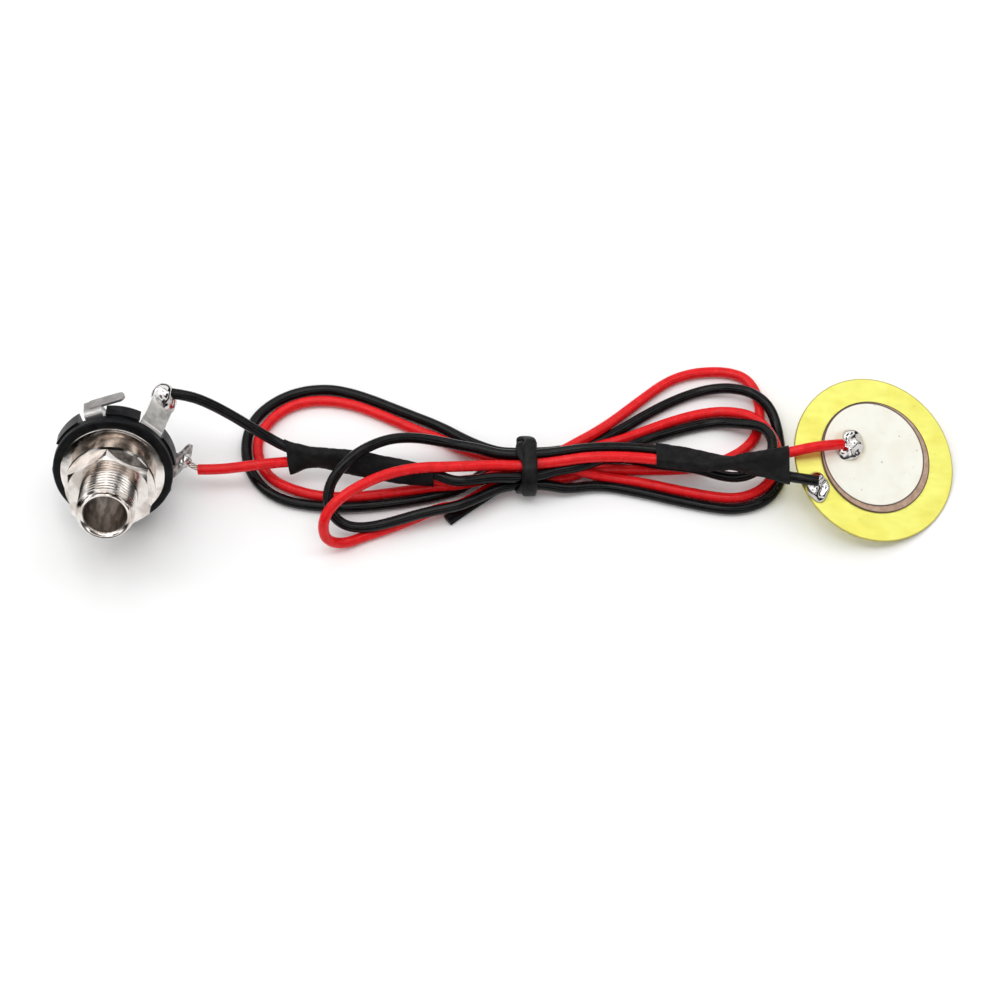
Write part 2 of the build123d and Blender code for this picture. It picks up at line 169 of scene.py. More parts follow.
class Finish(Nodes):
    """A procedural material for one of the pickup's surfaces."""

    def __init__(self, name, **constants):
        self.material = bpy.data.materials.new(name)
        self.material.use_nodes = True
        super().__init__(self.material.node_tree)
        self.shader = self.tree.nodes["Principled BSDF"]
        for socket, value in constants.items():
            self.shader.inputs[socket.replace("_", " ")].default_value = value
        self.place = self.node("ShaderNodeNewGeometry", {}, {}, "Position")

    def feed(self, socket, value):
        self.tree.links.new(value.socket, self.shader.inputs[socket])

    def vector(self, operation, one, other, output="Vector"):
        return self.node("ShaderNodeVectorMath", {"operation": operation}, {0: one, 1: other}, output)

    def noise(self, per_mm, detail=4, stretch=(1, 1, 1)):
        """Cloudy noise over the surface, with so many clouds to a millimetre."""
        spot = self.vector("MULTIPLY", self.place, stretch)
        values = {"Vector": spot, "Scale": per_mm / MM, "Detail": detail}
        return self.node("ShaderNodeTexNoise", {}, values)

    def blend(self, share, one, other):
        """One colour going over to another. The Mix node's colours are its sockets 6 and 7."""
        one, other = (c if isinstance(c, Sock) else (*c, 1) for c in (one, other))
        return self.node("ShaderNodeMix", {"data_type": "RGBA"}, {0: share, 6: one, 7: other}, 2)

    def from_point(self, point):
        """Distance from a point, in millimetres."""
        return self.vector("DISTANCE", self.place, tuple(c * MM for c in point), "Value") / MM

    def from_axis(self, point, along):
        """Distance from a line, in millimetres."""
        offset = self.vector("SUBTRACT", self.place, tuple(c * MM for c in point))
        across = self.vector("CROSS_PRODUCT", offset, along)
        return self.vector("LENGTH", across, (0, 0, 0), "Value") / MM

    def bump(self, height, depth):
        values = {"Strength": 1.0, "Distance": depth * MM, "Height": height}
        self.feed("Normal", self.node("ShaderNodeBump", {}, values))


def plastic(name, base, worn, gloss, depth, specular=0.5):
    """Moulded or extruded plastic, faintly worn."""
    f = Finish(name, Specular_IOR_Level=specular)
    f.feed("Base Color", f.blend(f.ramp(f.noise(0.8, 5), 0.4, 0.65), base, worn))
    f.feed("Roughness", f.ramp(f.noise(0.6), 0.3, 0.7, gloss - 0.05, gloss + 0.07))
    f.bump(f.noise(2.2), depth)
    return f


def metal(name, base, dull, gloss, depth):
    """Bright metal with dull clouds."""
    f = Finish(name, Metallic=1.0)
    f.feed("Base Color", f.blend(f.ramp(f.noise(0.5, 6), 0.42, 0.68), base, dull))
    f.feed("Roughness", f.ramp(f.noise(1.1, 6), 0.3, 0.7, gloss - 0.04, gloss + 0.07))
    f.bump(f.noise(3.5), depth)
    return f


def plated(name):
    """Nickel plate with painted shade in the thread's roots, streaked and brownish inside the plug's
    bore.
    """
    f = Finish(name, Metallic=1.0)
    from_middle = f.from_axis(jack_face, mouthward)
    shine = f.blend(f.ramp(f.noise(0.35, 6), 0.45, 0.62), (0.86, 0.81, 0.77), (0.60, 0.54, 0.49))
    streaks = f.ramp(f.noise(1.3, 4, (1, 0.25, 0.25)), 0.4, 0.6)
    streaked = f.blend(streaks, (0.52, 0.46, 0.42), (0.27, 0.23, 0.20))
    inside = 1 - f.ramp(from_middle, bore_radius + 0.075, bore_radius + 0.275)
    # Painted shade: the plate is darkened to near black in the thread's roots behind the mouth.
    root = f.ramp(from_middle, thread_root + 0.12, thread_crest - 0.14, 0.85, 0.0)
    behind_mouth = f.ramp(f.from_point(jack_mouth), 4.15, 4.5)
    root_shaded_plate = f.blend(root * behind_mouth, shine, (0.10, 0.08, 0.07))
    f.feed("Base Color", f.blend(inside, root_shaded_plate, streaked))
    f.feed("Roughness", f.ramp(f.noise(0.9, 6), 0.3, 0.7, 0.08, 0.18) + inside * 0.2)
    f.bump(f.noise(3.0), 0.004)
    return f


def contact(name):
    """Contact strip: bare spring metal, tinned at the ground's tag, flux-stained at the tip's."""
    f = Finish(name, Metallic=0.8)
    clouds = f.ramp(f.noise(0.5, 6), 0.42, 0.68)
    bare = f.blend(clouds, (0.56, 0.54, 0.53), (0.44, 0.42, 0.41))
    tinned = f.blend(clouds, (0.97, 0.95, 0.92), (0.84, 0.82, 0.78))
    strip = f.blend(f.ramp(f.from_point(ground_joint_middle), 5.5, 7.0), tinned, bare)
    near_tip = 1 - f.ramp(f.from_point(tip_joint_middle), 3.0, 5.0)
    flux = near_tip * f.ramp(f.noise(1.1, 4), 0.40, 0.56, 0.2, 0.9)
    f.feed("Base Color", f.blend(flux, strip, (0.10, 0.085, 0.075)))
    f.feed("Roughness", f.ramp(f.noise(1.1, 6), 0.3, 0.7, 0.28, 0.42))
    f.bump(f.noise(3.5), 0.012)
    return f


def brass(name):
    """Rolled sheet brass with a fine grain, a few handling marks, and painted shade as a dark line
    along the rim.
    """
    f = Finish(name, Metallic=1.0)
    grain = (1, 3, 1)
    tone = f.blend(f.ramp(f.noise(0.16, 5), 0.4, 0.66), (0.92, 0.90, 0.23), (0.88, 0.83, 0.18))
    marks = f.ramp(f.noise(1.6, 6), 0.66, 0.72, 0.0, 0.35)
    marked = f.blend(marks, tone, (0.72, 0.58, 0.16))
    # Painted shade: a dark line along the disc's rim stands for the shade on its thin side.
    rim_shade = f.ramp(f.from_point(disc_middle), disc_radius - 0.2, disc_radius - 0.05, 0.0, 0.75)
    f.feed("Base Color", f.blend(rim_shade, marked, (0.34, 0.24, 0.07)))
    f.feed("Roughness", f.ramp(f.noise(0.5, 6, grain), 0.3, 0.7, 0.44, 0.56))
    f.bump(f.noise(1.4, 5, grain), 0.003)
    return f


def fired_face(f):
    """Colour of the wafer's face: fired clay, and the silvering screened on it off centre."""
    outline = (0.10, 0.06, 0.045)
    reach = f.from_point(silver_middle)
    clay = f.blend(f.ramp(f.noise(1.2, 6), 0.35, 0.65), (0.40, 0.26, 0.19), (0.52, 0.36, 0.27))
    cream = f.blend(f.ramp(f.noise(0.25, 6), 0.4, 0.62), (0.93, 0.92, 0.83), (0.89, 0.87, 0.76))
    specks = f.ramp(f.noise(1.5, 2), 0.72, 0.77, 0.0, 0.6)
    specked = f.blend(specks, cream, (0.42, 0.38, 0.32))
    stain = f.ramp(f.from_point(electrode_joint_middle), 2.2, 3.2, 0.45, 0.0)
    stained = f.blend(stain, specked, (0.62, 0.45, 0.24))
    silver_edge = f.ramp(reach, silver_radius - 0.22, silver_radius - 0.1)
    silvered = f.blend(silver_edge, stained, outline)
    clay_edge = f.ramp(f.from_point(wafer_middle), wafer_radius - 0.12, wafer_radius)
    ringed = f.blend(clay_edge, clay, outline)
    return f.blend(f.ramp(reach, silver_radius, silver_radius + 0.12), silvered, ringed)


def wafer(name, gloss):
    """The ceramic wafer or its silvered face."""
    f = Finish(name, Specular_IOR_Level=0.3)
    f.feed("Base Color", fired_face(f))
    f.feed("Roughness", f.ramp(f.noise(1.6), 0.3, 0.7, gloss - 0.06, gloss + 0.08))
    f.bump(f.noise(4.5), 0.007)
    return f


def shrunk(name):
    """Heat-shrink tube, dull and finely creased along its length."""
    f = Finish(name, Specular_IOR_Level=0.13)
    black, rubbed = (0.005, 0.005, 0.0055), (0.011, 0.011, 0.012)
    f.feed("Base Color", f.blend(f.ramp(f.noise(0.7, 6), 0.4, 0.68), black, rubbed))
    f.feed("Roughness", f.ramp(f.noise(0.8), 0.3, 0.7, 0.5, 0.62))
    f.bump(f.noise(0.9, 5, (0.5, 2, 2)) + 0.35 * f.noise(6.0), 0.09)
    return f


finishes = {
    "nickel": plated("nickel_plate"),
    "contact_metal": contact("contact_strip"),
    "solder": metal("solder", (0.64, 0.62, 0.61), (0.44, 0.42, 0.41), 0.10, 0.004),
    "tinned_copper": metal("tinned_strands", (0.80, 0.77, 0.73), (0.58, 0.50, 0.42), 0.25, 0.01),
    "black_insulator": plastic(
        "moulded_black", (0.004, 0.0042, 0.005), (0.008, 0.0084, 0.01), 0.34, 0.012, 0.13
    ),
    "brown_insulator": plastic(
        "paper_laminate", (0.11, 0.05, 0.02), (0.16, 0.08, 0.035), 0.5, 0.02
    ),
    "red_insulation": plastic(
        "red_pvc", (0.78, 0.010, 0.014), (0.68, 0.008, 0.011), 0.22, 0.010, 0.22
    ),
    "black_insulation": plastic(
        "black_pvc", (0.003, 0.003, 0.0035), (0.006, 0.006, 0.007), 0.17, 0.008, 0.17
    ),
    "heat_shrink": shrunk("heat_shrink"),
    "tie_plastic": plastic(
        "tie_plastic", (0.004, 0.004, 0.0045), (0.009, 0.009, 0.01), 0.38, 0.03, 0.15
    ),
    "disc_brass": brass("sheet_brass"),
    "piezo": wafer("fired_ceramic", 0.56),
    "silvering": wafer("silvering", 0.48),
}
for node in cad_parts.values():
    for place in node.material_slots:
        kept = finishes.get(place.material.name)
        if kept:
            place.material = kept.material

# Leads: each is one length from the jack, five times through the tie, to the disc

black_points = [
    (-52.3, 8.6, 15.35), (-49.7, 8.5, 14.85), (-46.9, 8.2, 13.40), (-43.4, 7.4, 11.10),
    (-40.2, 6.6, 8.50), (-37.4, 5.6, 6.80), (-34.9, 4.5, 6.00), (-31.9, 3.5, 5.70),
    (-29.0, 3.2, 5.65), (-23.6, 3.0, 5.15), (-17.0, 1.4, 5.15), (-11.5, 0.1, 5.30),
    (-8.2, -1.7, 5.60), (-5.1, -1.3, 5.50), (-2.0, -0.5, 4.90), (1.0, -0.1, 4.15),
    (5.6, 0.4, 4.00), (7.8, 1.3, 4.00), (10.8, 1.8, 4.10), (13.8, 2.9, 3.90),
    (16.7, 4.5, 3.50), (19.6, 6.7, 2.40), (22.4, 8.8, 1.00), (26.8, 10.4, 0.90),
    (31.0, 11.6, 0.90), (34.4, 12.0, 1.10), (37.1, 11.1, 2.20), (39.6, 10.2, 3.30),
    (41.5, 8.5, 4.30), (42.3, 6.1, 4.60), (41.7, 3.6, 4.20), (39.8, 1.7, 3.40),
    (37.2, 0.9, 2.50), (34.2, 1.4, 2.00), (30.6, 2.4, 2.60), (27.5, 2.9, 2.60),
    (23.7, 3.4, 2.40), (20.0, 5.1, 1.40), (14.7, 5.5, 0.90), (11.0, 5.2, 1.00),
    (8.4, 4.8, 1.40), (6.0, 4.7, 1.60), (0.4, 4.7, 1.60), (-2.0, 3.6, 1.25),
    (-4.6, 1.9, 0.88), (-7.4, -0.3, 0.87), (-10.5, -1.4, 0.87), (-14.0, -2.2, 0.87),
    (-17.3, -2.8, 0.87), (-22.5, -3.5, 0.87), (-26.7, -3.6, 0.87), (-31.0, -3.3, 0.87),
    (-34.8, -2.5, 0.87), (-37.9, -0.8, 0.87), (-40.0, 1.7, 0.87), (-41.2, 4.4, 0.87),
    (-41.6, 7.6, 0.87), (-41.2, 10.6, 0.87), (-39.8, 13.5, 0.87), (-37.0, 16.1, 0.87),
    (-33.7, 17.7, 0.87), (-30.5, 18.3, 0.87), (-27.3, 18.2, 0.87), (-22.9, 16.9, 0.87),
    (-16.4, 13.9, 0.87), (-10.6, 11.3, 0.90), (-6.2, 8.2, 1.50), (-2.2, 5.8, 2.60),
    (0.4, 5.0, 3.20), (6.0, 5.2, 3.10), (8.2, 6.1, 2.00), (10.7, 7.1, 1.30),
    (14.7, 8.5, 0.92), (18.2, 10.6, 0.87), (22.5, 13.6, 0.87), (26.9, 16.2, 0.87),
    (31.2, 17.9, 1.00), (34.5, 18.2, 1.50), (37.0, 17.6, 2.20), (39.4, 16.6, 2.70),
    (41.4, 15.0, 2.50), (42.6, 13.3, 1.80), (43.3, 10.9, 1.10), (43.6, 8.1, 0.88),
    (43.8, 4.7, 0.87), (43.6, 2.0, 0.87), (42.9, -0.0, 0.87), (41.3, -2.1, 0.87),
    (38.9, -3.4, 0.87), (35.9, -4.0, 0.87), (32.7, -3.7, 0.87), (27.4, -2.5, 0.87),
    (21.1, -0.8, 0.87), (14.8, 0.5, 0.90), (9.7, -0.5, 1.40), (7.6, -0.4, 1.90),
    (5.4, -0.2, 2.25), (1.4, -0.3, 2.30), (-0.8, -1.0, 2.70), (-3.0, -2.3, 3.10),
    (-5.4, -3.7, 3.30), (-7.8, -4.8, 3.25), (-12.8, -5.7, 3.00), (-17.8, -7.2, 2.60),
    (-21.1, -8.0, 2.40), (-23.8, -8.1, 2.30), (-25.9, -7.6, 2.70), (-27.5, -6.3, 3.70),
    (-28.1, -4.5, 5.10), (-27.6, -2.4, 6.40), (-25.9, -0.2, 7.60), (-23.1, 2.3, 8.40),
    (-18.9, 4.7, 8.00), (-14.9, 5.9, 6.60), (-11.1, 6.1, 5.20), (-7.4, 5.6, 4.50),
    (-4.4, 4.9, 4.75), (-2.0, 4.0, 4.90), (0.4, 3.6, 4.95), (5.6, 3.8, 4.95),
    (8.2, 4.1, 5.00), (13.0, 4.8, 5.20), (18.4, 5.0, 5.10), (23.6, 4.5, 5.05),
    (29.5, 3.3, 5.20), (33.6, 2.1, 5.40), (37.7, 1.0, 5.95), (41.0, -0.8, 7.30),
    (44.2, -2.4, 8.40), (46.4, -3.1, 8.90), (48.6, -3.4, 8.80),
]
red_points = [
    (-48.6, 1.4, 4.20), (-45.4, 1.2, 4.50), (-41.6, 1.5, 4.90), (-38.2, 2.0, 4.90),
    (-34.9, 2.6, 4.50), (-31.9, 3.1, 3.95), (-29.0, 3.2, 3.85), (-23.6, 1.6, 4.05),
    (-17.0, 0.1, 4.10), (-11.5, -0.1, 3.80), (-8.9, -0.8, 4.00), (-5.8, -0.4, 3.95),
    (-2.6, 0.2, 3.50), (0.8, 1.6, 3.20), (2.6, 1.7, 3.20), (5.4, 1.9, 3.20),
    (8.0, 3.0, 3.25), (10.6, 4.6, 3.00), (14.0, 6.9, 1.90), (18.1, 8.6, 1.00),
    (22.5, 10.6, 0.87), (26.8, 12.4, 0.87), (31.1, 13.7, 0.87), (34.7, 14.1, 1.00),
    (38.2, 13.1, 1.90), (40.5, 11.2, 2.70), (42.0, 9.0, 2.70), (42.9, 6.6, 2.80),
    (43.0, 4.1, 2.50), (42.3, 1.7, 1.60), (40.8, -0.0, 0.87), (38.5, -1.4, 0.87),
    (36.0, -2.0, 0.87), (32.8, -1.7, 0.87), (27.5, -0.6, 0.87), (21.2, 1.0, 0.87),
    (15.5, 1.8, 1.00), (13.0, 1.9, 2.20), (10.6, 2.4, 2.50), (8.0, 2.8, 1.90),
    (6.0, 3.0, 1.50), (0.4, 3.0, 1.50), (-2.0, 1.6, 2.00), (-4.6, 0.2, 2.55),
    (-7.6, -0.3, 2.30), (-11.9, -0.2, 1.30), (-17.3, -0.8, 0.87), (-22.5, -1.6, 0.87),
    (-26.8, -1.8, 0.87), (-30.6, -1.4, 0.87), (-34.2, -0.2, 0.87), (-36.8, 1.2, 0.87),
    (-38.7, 3.4, 0.87), (-39.6, 6.1, 0.87), (-39.7, 8.6, 0.87), (-38.7, 11.3, 0.87),
    (-36.3, 14.1, 0.87), (-33.2, 15.8, 0.87), (-29.4, 16.3, 0.87), (-25.1, 15.6, 0.87),
    (-20.7, 13.8, 0.87), (-14.2, 10.5, 0.87), (-10.6, 9.0, 0.87), (-6.2, 6.3, 1.40),
    (-2.2, 4.2, 2.80), (0.4, 3.4, 3.20), (5.6, 3.5, 3.25), (8.2, 4.9, 3.30),
    (11.2, 6.9, 3.25), (13.8, 9.0, 2.40), (17.1, 12.1, 1.20), (21.5, 16.1, 0.90),
    (25.9, 19.8, 0.87), (29.7, 21.3, 0.87), (33.1, 21.7, 0.87), (36.1, 21.5, 0.87),
    (38.5, 20.5, 0.87), (39.9, 18.4, 0.87), (40.6, 15.9, 0.87), (40.7, 13.6, 0.87),
    (40.4, 11.6, 0.87), (39.9, 9.6, 0.87), (38.7, 7.8, 0.87), (36.7, 6.1, 0.87),
    (33.6, 4.5, 0.87), (29.2, 3.4, 0.87), (22.8, 3.2, 0.87), (15.5, 3.4, 0.87),
    (12.6, 3.1, 0.86), (10.2, 2.0, 0.88), (8.0, 1.4, 1.20), (6.0, 1.3, 1.50),
    (0.4, 1.3, 1.50), (-2.0, 0.1, 1.60), (-4.6, -2.0, 1.75), (-7.6, -3.8, 1.60),
    (-10.8, -3.7, 0.87), (-15.5, -6.1, 0.87), (-20.0, -8.0, 0.87), (-22.7, -9.0, 0.87),
    (-24.9, -10.1, 1.10), (-26.8, -10.7, 2.00), (-28.2, -10.8, 3.60), (-28.6, -10.2, 5.70),
    (-28.2, -9.1, 7.70), (-26.8, -7.7, 9.20), (-24.5, -5.9, 9.70), (-21.6, -3.8, 9.30),
    (-18.8, -2.1, 8.60), (-16.0, -0.8, 7.80), (-12.9, 0.1, 7.10), (-9.5, 0.4, 6.70),
    (-5.7, 0.6, 6.60), (-2.9, 1.2, 5.80), (-0.6, 1.6, 5.20), (1.2, 1.6, 4.95),
    (5.6, 2.0, 5.00), (8.2, 2.2, 5.30), (13.0, 2.9, 5.60), (18.4, 3.1, 5.35),
    (23.6, 2.8, 5.05), (29.5, 1.5, 5.65), (33.6, 0.8, 6.65), (37.7, 1.0, 7.95),
    (41.0, 0.9, 9.00), (44.2, 1.0, 10.15), (47.7, 1.7, 10.50), (50.6, 2.6, 9.70),
    (52.6, 3.4, 8.60),
]


def dress(piece, slot, *nodes):
    """Join a piece to the pickup in place of its plain solids."""
    scene.collection.objects.link(piece)
    piece.data.materials.append(finishes[slot].material)
    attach(piece, "root")
    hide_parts(*nodes)
    return piece


def wires(name, runs, diameter):
    """Round wires, one spline to a run."""
    curve = bpy.data.curves.new(name, "CURVE")
    curve.dimensions = "3D"
    for points in runs:
        spline = curve.splines.new("NURBS")
        spline.points.add(len(points) - 1)
        for knot, (x, y, z) in zip(spline.points, points):
            knot.co = (x * MM, y * MM, z * MM, 1)
        spline.order_u = 3
        spline.use_endpoint_u = True
        spline.resolution_u = 6
    curve.bevel_depth = diameter / 2 * MM
    curve.bevel_resolution = 4
    curve.use_fill_caps = True
    return bpy.data.objects.new(name, curve)


black_lead = dress(
    wires("black_lead", [black_points], lead_diameter),
    "black_insulation", "black_jack_lead", "black_disc_lead", "lead_hank",
)
red_lead = dress(
    wires("red_lead", [red_points], lead_diameter),
    "red_insulation", "red_jack_lead", "red_disc_lead",
)


def line_of(piece):
    """The middle line of a lead, read from its spline, in millimetres."""
    bare = piece.data.copy()
    bare.bevel_depth = 0
    carrier = bpy.data.objects.new("line", bare)
    mesh = bpy.data.meshes.new_from_object(carrier)
    line = [v.co / MM for v in mesh.vertices]
    bpy.data.objects.remove(carrier)
    bpy.data.curves.remove(bare)
    bpy.data.meshes.remove(mesh)
    return line


def crossing(line, x):
    """Where a line first crosses a plane square to X."""
    for one, other in zip(line, line[1:]):
        if one.x != other.x and min(one.x, other.x) <= x <= max(one.x, other.x):
            return one.lerp(other, (x - one.x) / (other.x - one.x))


# Pieces made of rings of points


def skinned(name, rings, round_trip, sharp=40):
    """A surface through rings of equally many points, its ends joined to each other or closed."""
    count = len(rings[0])
    points = [Vector(p) * MM for ring in rings for p in ring]
    faces = []
    for i in range(len(rings) if round_trip else len(rings) - 1):
        a, b = i * count, (i + 1) % len(rings) * count
        for j in range(count):
            k = (j + 1) % count
            faces.append((a + j, a + k, b + k, b + j))
    if not round_trip:
        faces += [tuple(range(count))[::-1], tuple(range(len(points) - count, len(points)))]
    mesh = bpy.data.meshes.new(name)
    mesh.from_pydata(points, [], faces)
    shape = bmesh.new()
    shape.from_mesh(mesh)
    bmesh.ops.recalc_face_normals(shape, faces=shape.faces)
    shape.to_mesh(mesh)
    shape.free()
    mesh.shade_smooth()
    mesh.set_sharp_from_angle(angle=math.radians(sharp))
    return bpy.data.objects.new(name, mesh)


# Sleeves

sleeve_rings, sleeve_sides = 90, 48
sleeve_outside, sleeve_inside = 0.34, 0.08
mouth_reach = 2.4


def sleeve(name, black_line, red_line, mouth, end, flares, slant, node):
    """Heat-shrink tube drawn down on both leads, creased, its mouth left wide."""
    outer, inner = [], []
    for i in range(sleeve_rings + 1):
        x = mouth + (end - mouth) * i / sleeve_rings
        black, red = crossing(black_line, x), crossing(red_line, x)
        middle = (black + red) / 2
        apart = (black - red) / 2
        apart.x = 0
        side = apart.normalized()
        up = Vector((1, 0, 0)).cross(side)
        opened = math.exp(-((abs(x - mouth) / mouth_reach) ** 2))
        for ring, wall in ((outer, sleeve_outside), (inner, sleeve_inside)):
            loop = []
            for j in range(sleeve_sides):
                turn = 2 * math.pi * j / sleeve_sides
                c, s = math.cos(turn), math.sin(turn)
                spread = apart.length * math.tanh(3.2 * c)
                reach = lead_diameter / 2 + wall
                if wall == sleeve_outside:
                    crease = 0.12 * noise.noise(Vector((x * 0.55, 1.6 * c, 1.6 * s)))
                    crease += 0.06 * noise.noise(Vector((x * 1.7, 3.0 * c, 3.0 * s + 9)))
                    reach += crease
                flare = opened * (flares[0] * max(0, c) + flares[1] * max(0, -c))
                waist = 1 - 0.10 * (1 - c * c) * min(1, apart.length / 1.2)
                spot = middle + side * (spread + (reach + flare) * c) + up * (reach * s * waist)
                spot.x += slant * opened * c
                loop.append(spot)
            ring.append(loop)
    return dress(skinned(name, outer + inner[::-1], True), "heat_shrink", node)


black_line, red_line = line_of(black_lead), line_of(red_lead)
jack_shrink = sleeve(
    "jack_shrink", black_line, red_line, -34.6, -11.5, (0.15, 0.9), -0.45, "jack_sleeve"
)
disc_shrink = sleeve(
    "disc_shrink", black_line[::-1], red_line[::-1], 44.1, 23.6, (0.05, -0.1), 0.1, "disc_sleeve"
)

# Tie: two turns of one strip that change sides where they cross


def waist_edge(share, lift):
    """A point round the bundle, by share of its girth from underneath, and the way out there."""
    straight = waist_width - waist_height
    bend = waist_height / 2
    half_turn = math.pi * bend
    girth = 2 * straight + 2 * half_turn
    run = share % 1 * girth - straight / 2
    if run < 0:
        run += girth
    if run < half_turn:
        turn = run / bend
        foot, out = -straight / 2, (-math.sin(turn), -math.cos(turn))
    elif run < half_turn + straight:
        foot, out = run - half_turn - straight / 2, (0, 1)
    elif run < 2 * half_turn + straight:
        turn = (run - half_turn - straight) / bend
        foot, out = straight / 2, (math.sin(turn), math.cos(turn))
    else:
        foot, out = straight / 2 - (run - 2 * half_turn - straight), (0, -1)
    reach = bend + 0.3 + lift
    y = waist_middle[1] + foot + out[0] * reach
    z = waist_middle[2] + out[1] * reach
    return Vector((waist_middle[0], y, z)), Vector((0, out[0], out[1]))


def strip_section(width, thickness):
    """Section of the tie's strip with soft corners, as pairs of across and out."""
    pairs = []
    for k in range(16):
        turn = 2 * math.pi * (k + 0.5) / 16
        c, s = math.cos(turn), math.sin(turn)
        across = width / 2 * math.copysign(abs(c) ** 0.6, c)
        pairs.append((across, thickness / 2 * math.copysign(abs(s) ** 0.6, s)))
    return pairs


def eased(value, low, high):
    """A smooth step from 0 to 1."""
    part = min(1, max(0, (value - low) / (high - low)))
    return part * part * (3 - 2 * part)


tie_stations = 240
tie_side = 0.85
tie_lift = 0.32
tie_lowest = 0.34
tie_rings = []
for i in range(tie_stations):
    turns = 2 * i / tie_stations
    share = turns % 1
    change = 2 * tie_side * eased(share, 0.60, 0.74)
    shown = eased(share, 0.08, 0.2) * (1 - eased(share, 0.56, 0.66))
    lift = tie_lift
    if turns < 1:
        under = eased(share, 0.20, 0.34) * (1 - eased(share, 0.42, 0.56))
        offset = -tie_side + 0.12 * shown + 1.05 * under + change
    else:
        bowed = eased(share, 0.16, 0.36) * (1 - eased(share, 0.42, 0.62))
        offset = tie_side - 0.52 * shown + 0.26 * bowed - change
        lift += 0.62 * eased(share, 0.12, 0.24) * (1 - eased(share, 0.74, 0.86))
    foot, out = waist_edge(turns, lift)
    foot.z = max(foot.z, tie_lowest)
    foot.x += offset
    section = strip_section(strip_width + 0.55 * shown, strip_thickness)
    tie_rings.append([foot + Vector((across, 0, 0)) + out * rise for across, rise in section])
tie_turns = dress(skinned("tie_turns", tie_rings, True, 60), "tie_plastic", "wire_tie")

tail_start = Vector((2.6, 3.0, 0.44))
tail_bend = Vector((-3.1, -0.75, 0.44))
tail_end = Vector((-9.3, -5.75, 0.44))
tail_section = strip_section(tail_width, tail_thickness)
tail_stations = 30
tail_rings = []
for i in range(tail_stations + 1):
    part = i / tail_stations
    first, last = tail_start.lerp(tail_bend, part), tail_bend.lerp(tail_end, part)
    foot = first.lerp(last, part)
    way = ((tail_bend - tail_start) * (1 - part) + (tail_end - tail_bend) * part).normalized()
    side = Vector((-way.y, way.x, 0))
    tail_rings.append([foot + side * across + Vector((0, 0, rise)) for across, rise in tail_section])
tie_tail = dress(skinned("tie_tail", tail_rings, False, 60), "tie_plastic", "wire_tie")

black_length, red_length = 474, 462
bindings = [jack_shrink, disc_shrink, tie_turns, tie_tail]
for piece, points, length, carried in (
    (black_lead, black_points, black_length, bindings),
    (red_lead, red_points, red_length, []),
):
    start = [c * MM for c in points[0]]
    length * MM

# Bushing: the turned body, as pairs of radius and level, and the ridge of its thread wound round it

body_profile = [
    (bore_radius, 11.75), (3.42, 12.05), (3.62, 12.22), (3.80, mouth_level), (3.92, mouth_level),
    (4.06, 12.18), (4.08, 12.0), (4.08, 9.0), (4.08, 6.0), (4.08, 3.0), (4.08, 0.25),
    (4.3, 0.05), (4.7, 0.0), (6.3, 0.0), (7.90, 0.0), (8.08, -0.07), (8.15, -0.25),
    (8.15, -0.9), (8.05, -1.0), (6.0, -1.0), (4.1, -1.0), (4.1, -6.55), (4.74, -6.55),
    (4.8, -6.62), (4.78, -6.9), (4.6, -7.05), (3.4, -7.05), (bore_radius, -6.9),
    (bore_radius, -2.0), (bore_radius, 3.0), (bore_radius, 8.0),
]
body_sides = 120
body_rings = []
for i in range(body_sides):
    turn = 2 * math.pi * i / body_sides
    c, s = math.cos(turn), math.sin(turn)
    body_rings.append([jack @ Vector((r * c, r * s, level)) for r, level in body_profile])
dress(skinned("bushing_body", body_rings, True, 32), "nickel", "jack_bushing")

thread_start = 0.55
ridge_low = thread_root + 0.04
steps_per_turn = 72
thread_rings = []
for i in range(steps_per_turn * thread_turns + 1):
    turn = i / steps_per_turn
    level = thread_start + turn * thread_pitch
    run_out = min(1, turn / 0.5, (thread_turns - turn) / 0.5)
    crest = ridge_low + (thread_crest - ridge_low) * run_out
    c, s = math.cos(2 * math.pi * turn), math.sin(2 * math.pi * turn)
    ridge = [(thread_root, -0.37), (crest, -0.09), (crest, 0.09), (thread_root, 0.37)]
    thread_rings.append([jack @ Vector((r * c, r * s, level + rise)) for r, rise in ridge])
dress(skinned("bushing_thread", thread_rings, False, 32), "nickel", "jack_bushing")

# Solder

ball_rings, ball_sides = 28, 48
cap_rings, cap_sides = 20, 64


def solder_ball(name, middle, half_sizes, seed, uneven, node):
    """A drop of solder held on a tag, drawn out of round as it set."""
    rings = []
    for i in range(1, ball_rings):
        tilt = math.pi * i / ball_rings
        ring = []
        for j in range(ball_sides):
            turn = 2 * math.pi * j / ball_sides
            flat = math.sin(tilt)
            way = Vector((flat * math.cos(turn), flat * math.sin(turn), math.cos(tilt)))
            swell = 1 + uneven * noise.noise(way * 1.3 + Vector((seed, 0, 0)))
            swell += 0.4 * uneven * noise.noise(way * 3.1 + Vector((0, seed, 0)))
            local = way * Vector(half_sizes) * swell
            ring.append(middle + jack.to_3x3() @ local)
        rings.append(ring)
    return dress(skinned(name, rings, False, 180), "solder", node)


def solder_cap(name, middle, reaches, height, seed, uneven, node):
    """Solder run out flat on the disc, its outline given by reaches at even turns."""
    rings = []
    for i in range(cap_rings + 1):
        share = math.sin(math.pi / 2 * (1 - i / cap_rings)) if i < cap_rings else 0.02
        ring = []
        for j in range(cap_sides):
            spot = j / cap_sides * len(reaches)
            one, other = int(spot), (int(spot) + 1) % len(reaches)
            part = eased(spot % 1, 0, 1)
            reach = reaches[one] * (1 - part) + reaches[other] * part
            turn = 2 * math.pi * j / cap_sides
            x, y = share * reach * math.cos(turn), share * reach * math.sin(turn)
            lump = uneven * noise.noise(Vector((0.75 * x + seed, 0.75 * y, 0.3)))
            rise = height * (1 - share ** 2.4) ** 0.55 * (1 + lump) - 0.12
            ring.append(middle + disc.to_3x3() @ Vector((x, y, rise)))
        rings.append(ring)
    return dress(skinned(name, rings, False, 180), "solder", node)


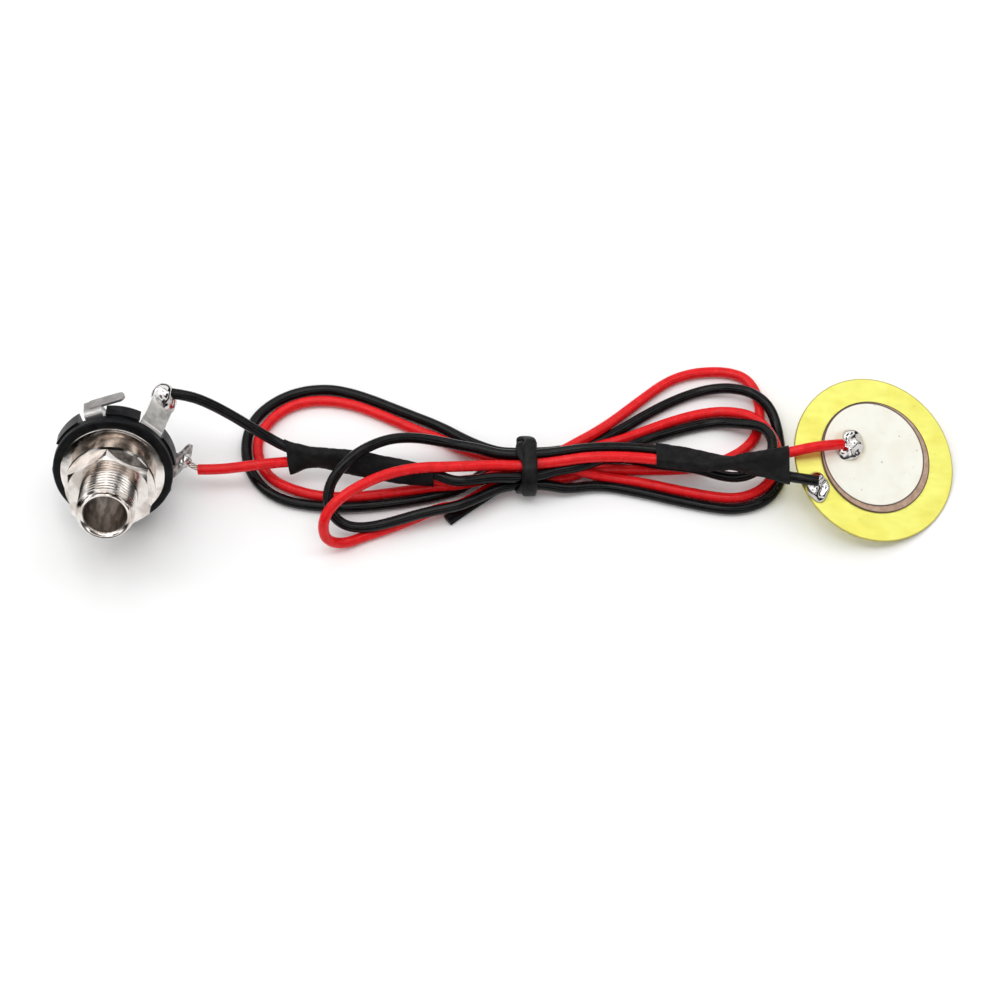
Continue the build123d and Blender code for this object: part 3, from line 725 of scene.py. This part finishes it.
solder_ball("ground_joint", ground_joint_middle, (2.05, 2.75, 2.1), 3.0, 0.10, "ground_solder")
solder_ball("tip_joint", tip_joint_middle, (1.2, 1.15, 1.25), 8.0, 0.45, "tip_solder")
solder_cap(
    "electrode_joint", electrode_joint_middle, [2.3, 2.5, 2.9, 2.6, 1.5, 2.4, 2.8, 2.5],
    1.2, 5.0, 0.85, "electrode_solder",
)
solder_cap(
    "rim_joint", rim_joint_middle, [2.1, 1.9, 2.1, 2.6, 2.2, 1.9, 2.1, 2.6],
    1.8, 1.0, 0.5, "rim_solder",
)

# Bare strands twisted together between the red lead and the tip's tag

strand_count, strand_steps = 6, 8
strand_twist = 0.7
strand_start, strand_end = Vector((-51.3, 2.5, 5.4)), Vector((-48.3, 1.4, 4.2))
strand_side = (strand_end - strand_start).cross(Vector((0, 0, 1))).normalized()
strand_up = strand_side.cross((strand_end - strand_start).normalized())
strand_runs = []
for k in range(strand_count):
    run = []
    for i in range(strand_steps + 1):
        share = i / strand_steps
        turn = 2 * math.pi * (k / strand_count + strand_twist * share)
        swell = 0.26 + 0.1 * math.sin(math.pi * share)
        spot = strand_start.lerp(strand_end, share)
        run.append(spot + swell * (math.cos(turn) * strand_side + math.sin(turn) * strand_up))
    strand_runs.append(run)
dress(wires("bare_strands", strand_runs, bare_strand_diameter), "tinned_copper", "tip_strands")

# Floor and light

half_floor = 0.9
floor_corners = [(x * half_floor, y * half_floor, 0) for x, y in ((-1, -1), (1, -1), (1, 1), (-1, 1))]
floor_mesh = bpy.data.meshes.new("floor")
floor_mesh.from_pydata(floor_corners, [], [(0, 1, 2, 3)])
floor = bpy.data.objects.new("floor", floor_mesh)
scene.collection.objects.link(floor)
paper = Finish("white_paper", Roughness=0.9, Specular_IOR_Level=0.1)
paper.feed("Base Color", paper.blend(paper.noise(0.02, 2), (0.97, 0.97, 0.97), (0.98, 0.98, 0.98)))
floor_mesh.materials.append(paper.material)


def lamp(name, place, sides, power):
    """A long soft lamp that looks at the tie."""
    data = bpy.data.lights.new(name, "AREA")
    data.shape = "RECTANGLE"
    data.size, data.size_y = sides
    data.energy = power
    made = bpy.data.objects.new(name, data)
    made.location = place
    made.rotation_euler = (-Vector(place)).to_track_quat("-Z", "Y").to_euler()
    scene.collection.objects.link(made)


lamp_power = 0.79
lamp("left_strip", (-0.34, 0.06, 0.52), (0.16, 0.62), lamp_power)
lamp("top_strip", (-0.02, 0.10, 0.66), (0.14, 0.62), lamp_power)
lamp("right_strip", (0.36, 0.08, 0.54), (0.24, 0.62), lamp_power)

# Studio: dark near the horizon, and soft bright patches overhead
world = bpy.data.worlds.new("studio")
scene.world = world
world.use_nodes = True
studio = Nodes(world.node_tree)
way = studio.node("ShaderNodeTexCoord", {}, {}, "Generated")
height = studio.node("ShaderNodeSeparateXYZ", {}, {0: way}, "Z")
patches = studio.node("ShaderNodeTexNoise", {}, {"Vector": way, "Scale": 2.0, "Detail": 0.5})
overhead = studio.ramp(height, 0.26, 0.48, 0.05, 0.95)
sky = overhead * studio.ramp(patches, 0.46, 0.54, 0.08, 1.42)
air = world.node_tree.nodes["Background"]
world.node_tree.links.new(sky.socket, air.inputs["Strength"])
air.inputs["Color"].default_value = (1, 1, 1, 1)
scene.view_settings.view_transform = "Standard"

bpy.context.view_layer.update()
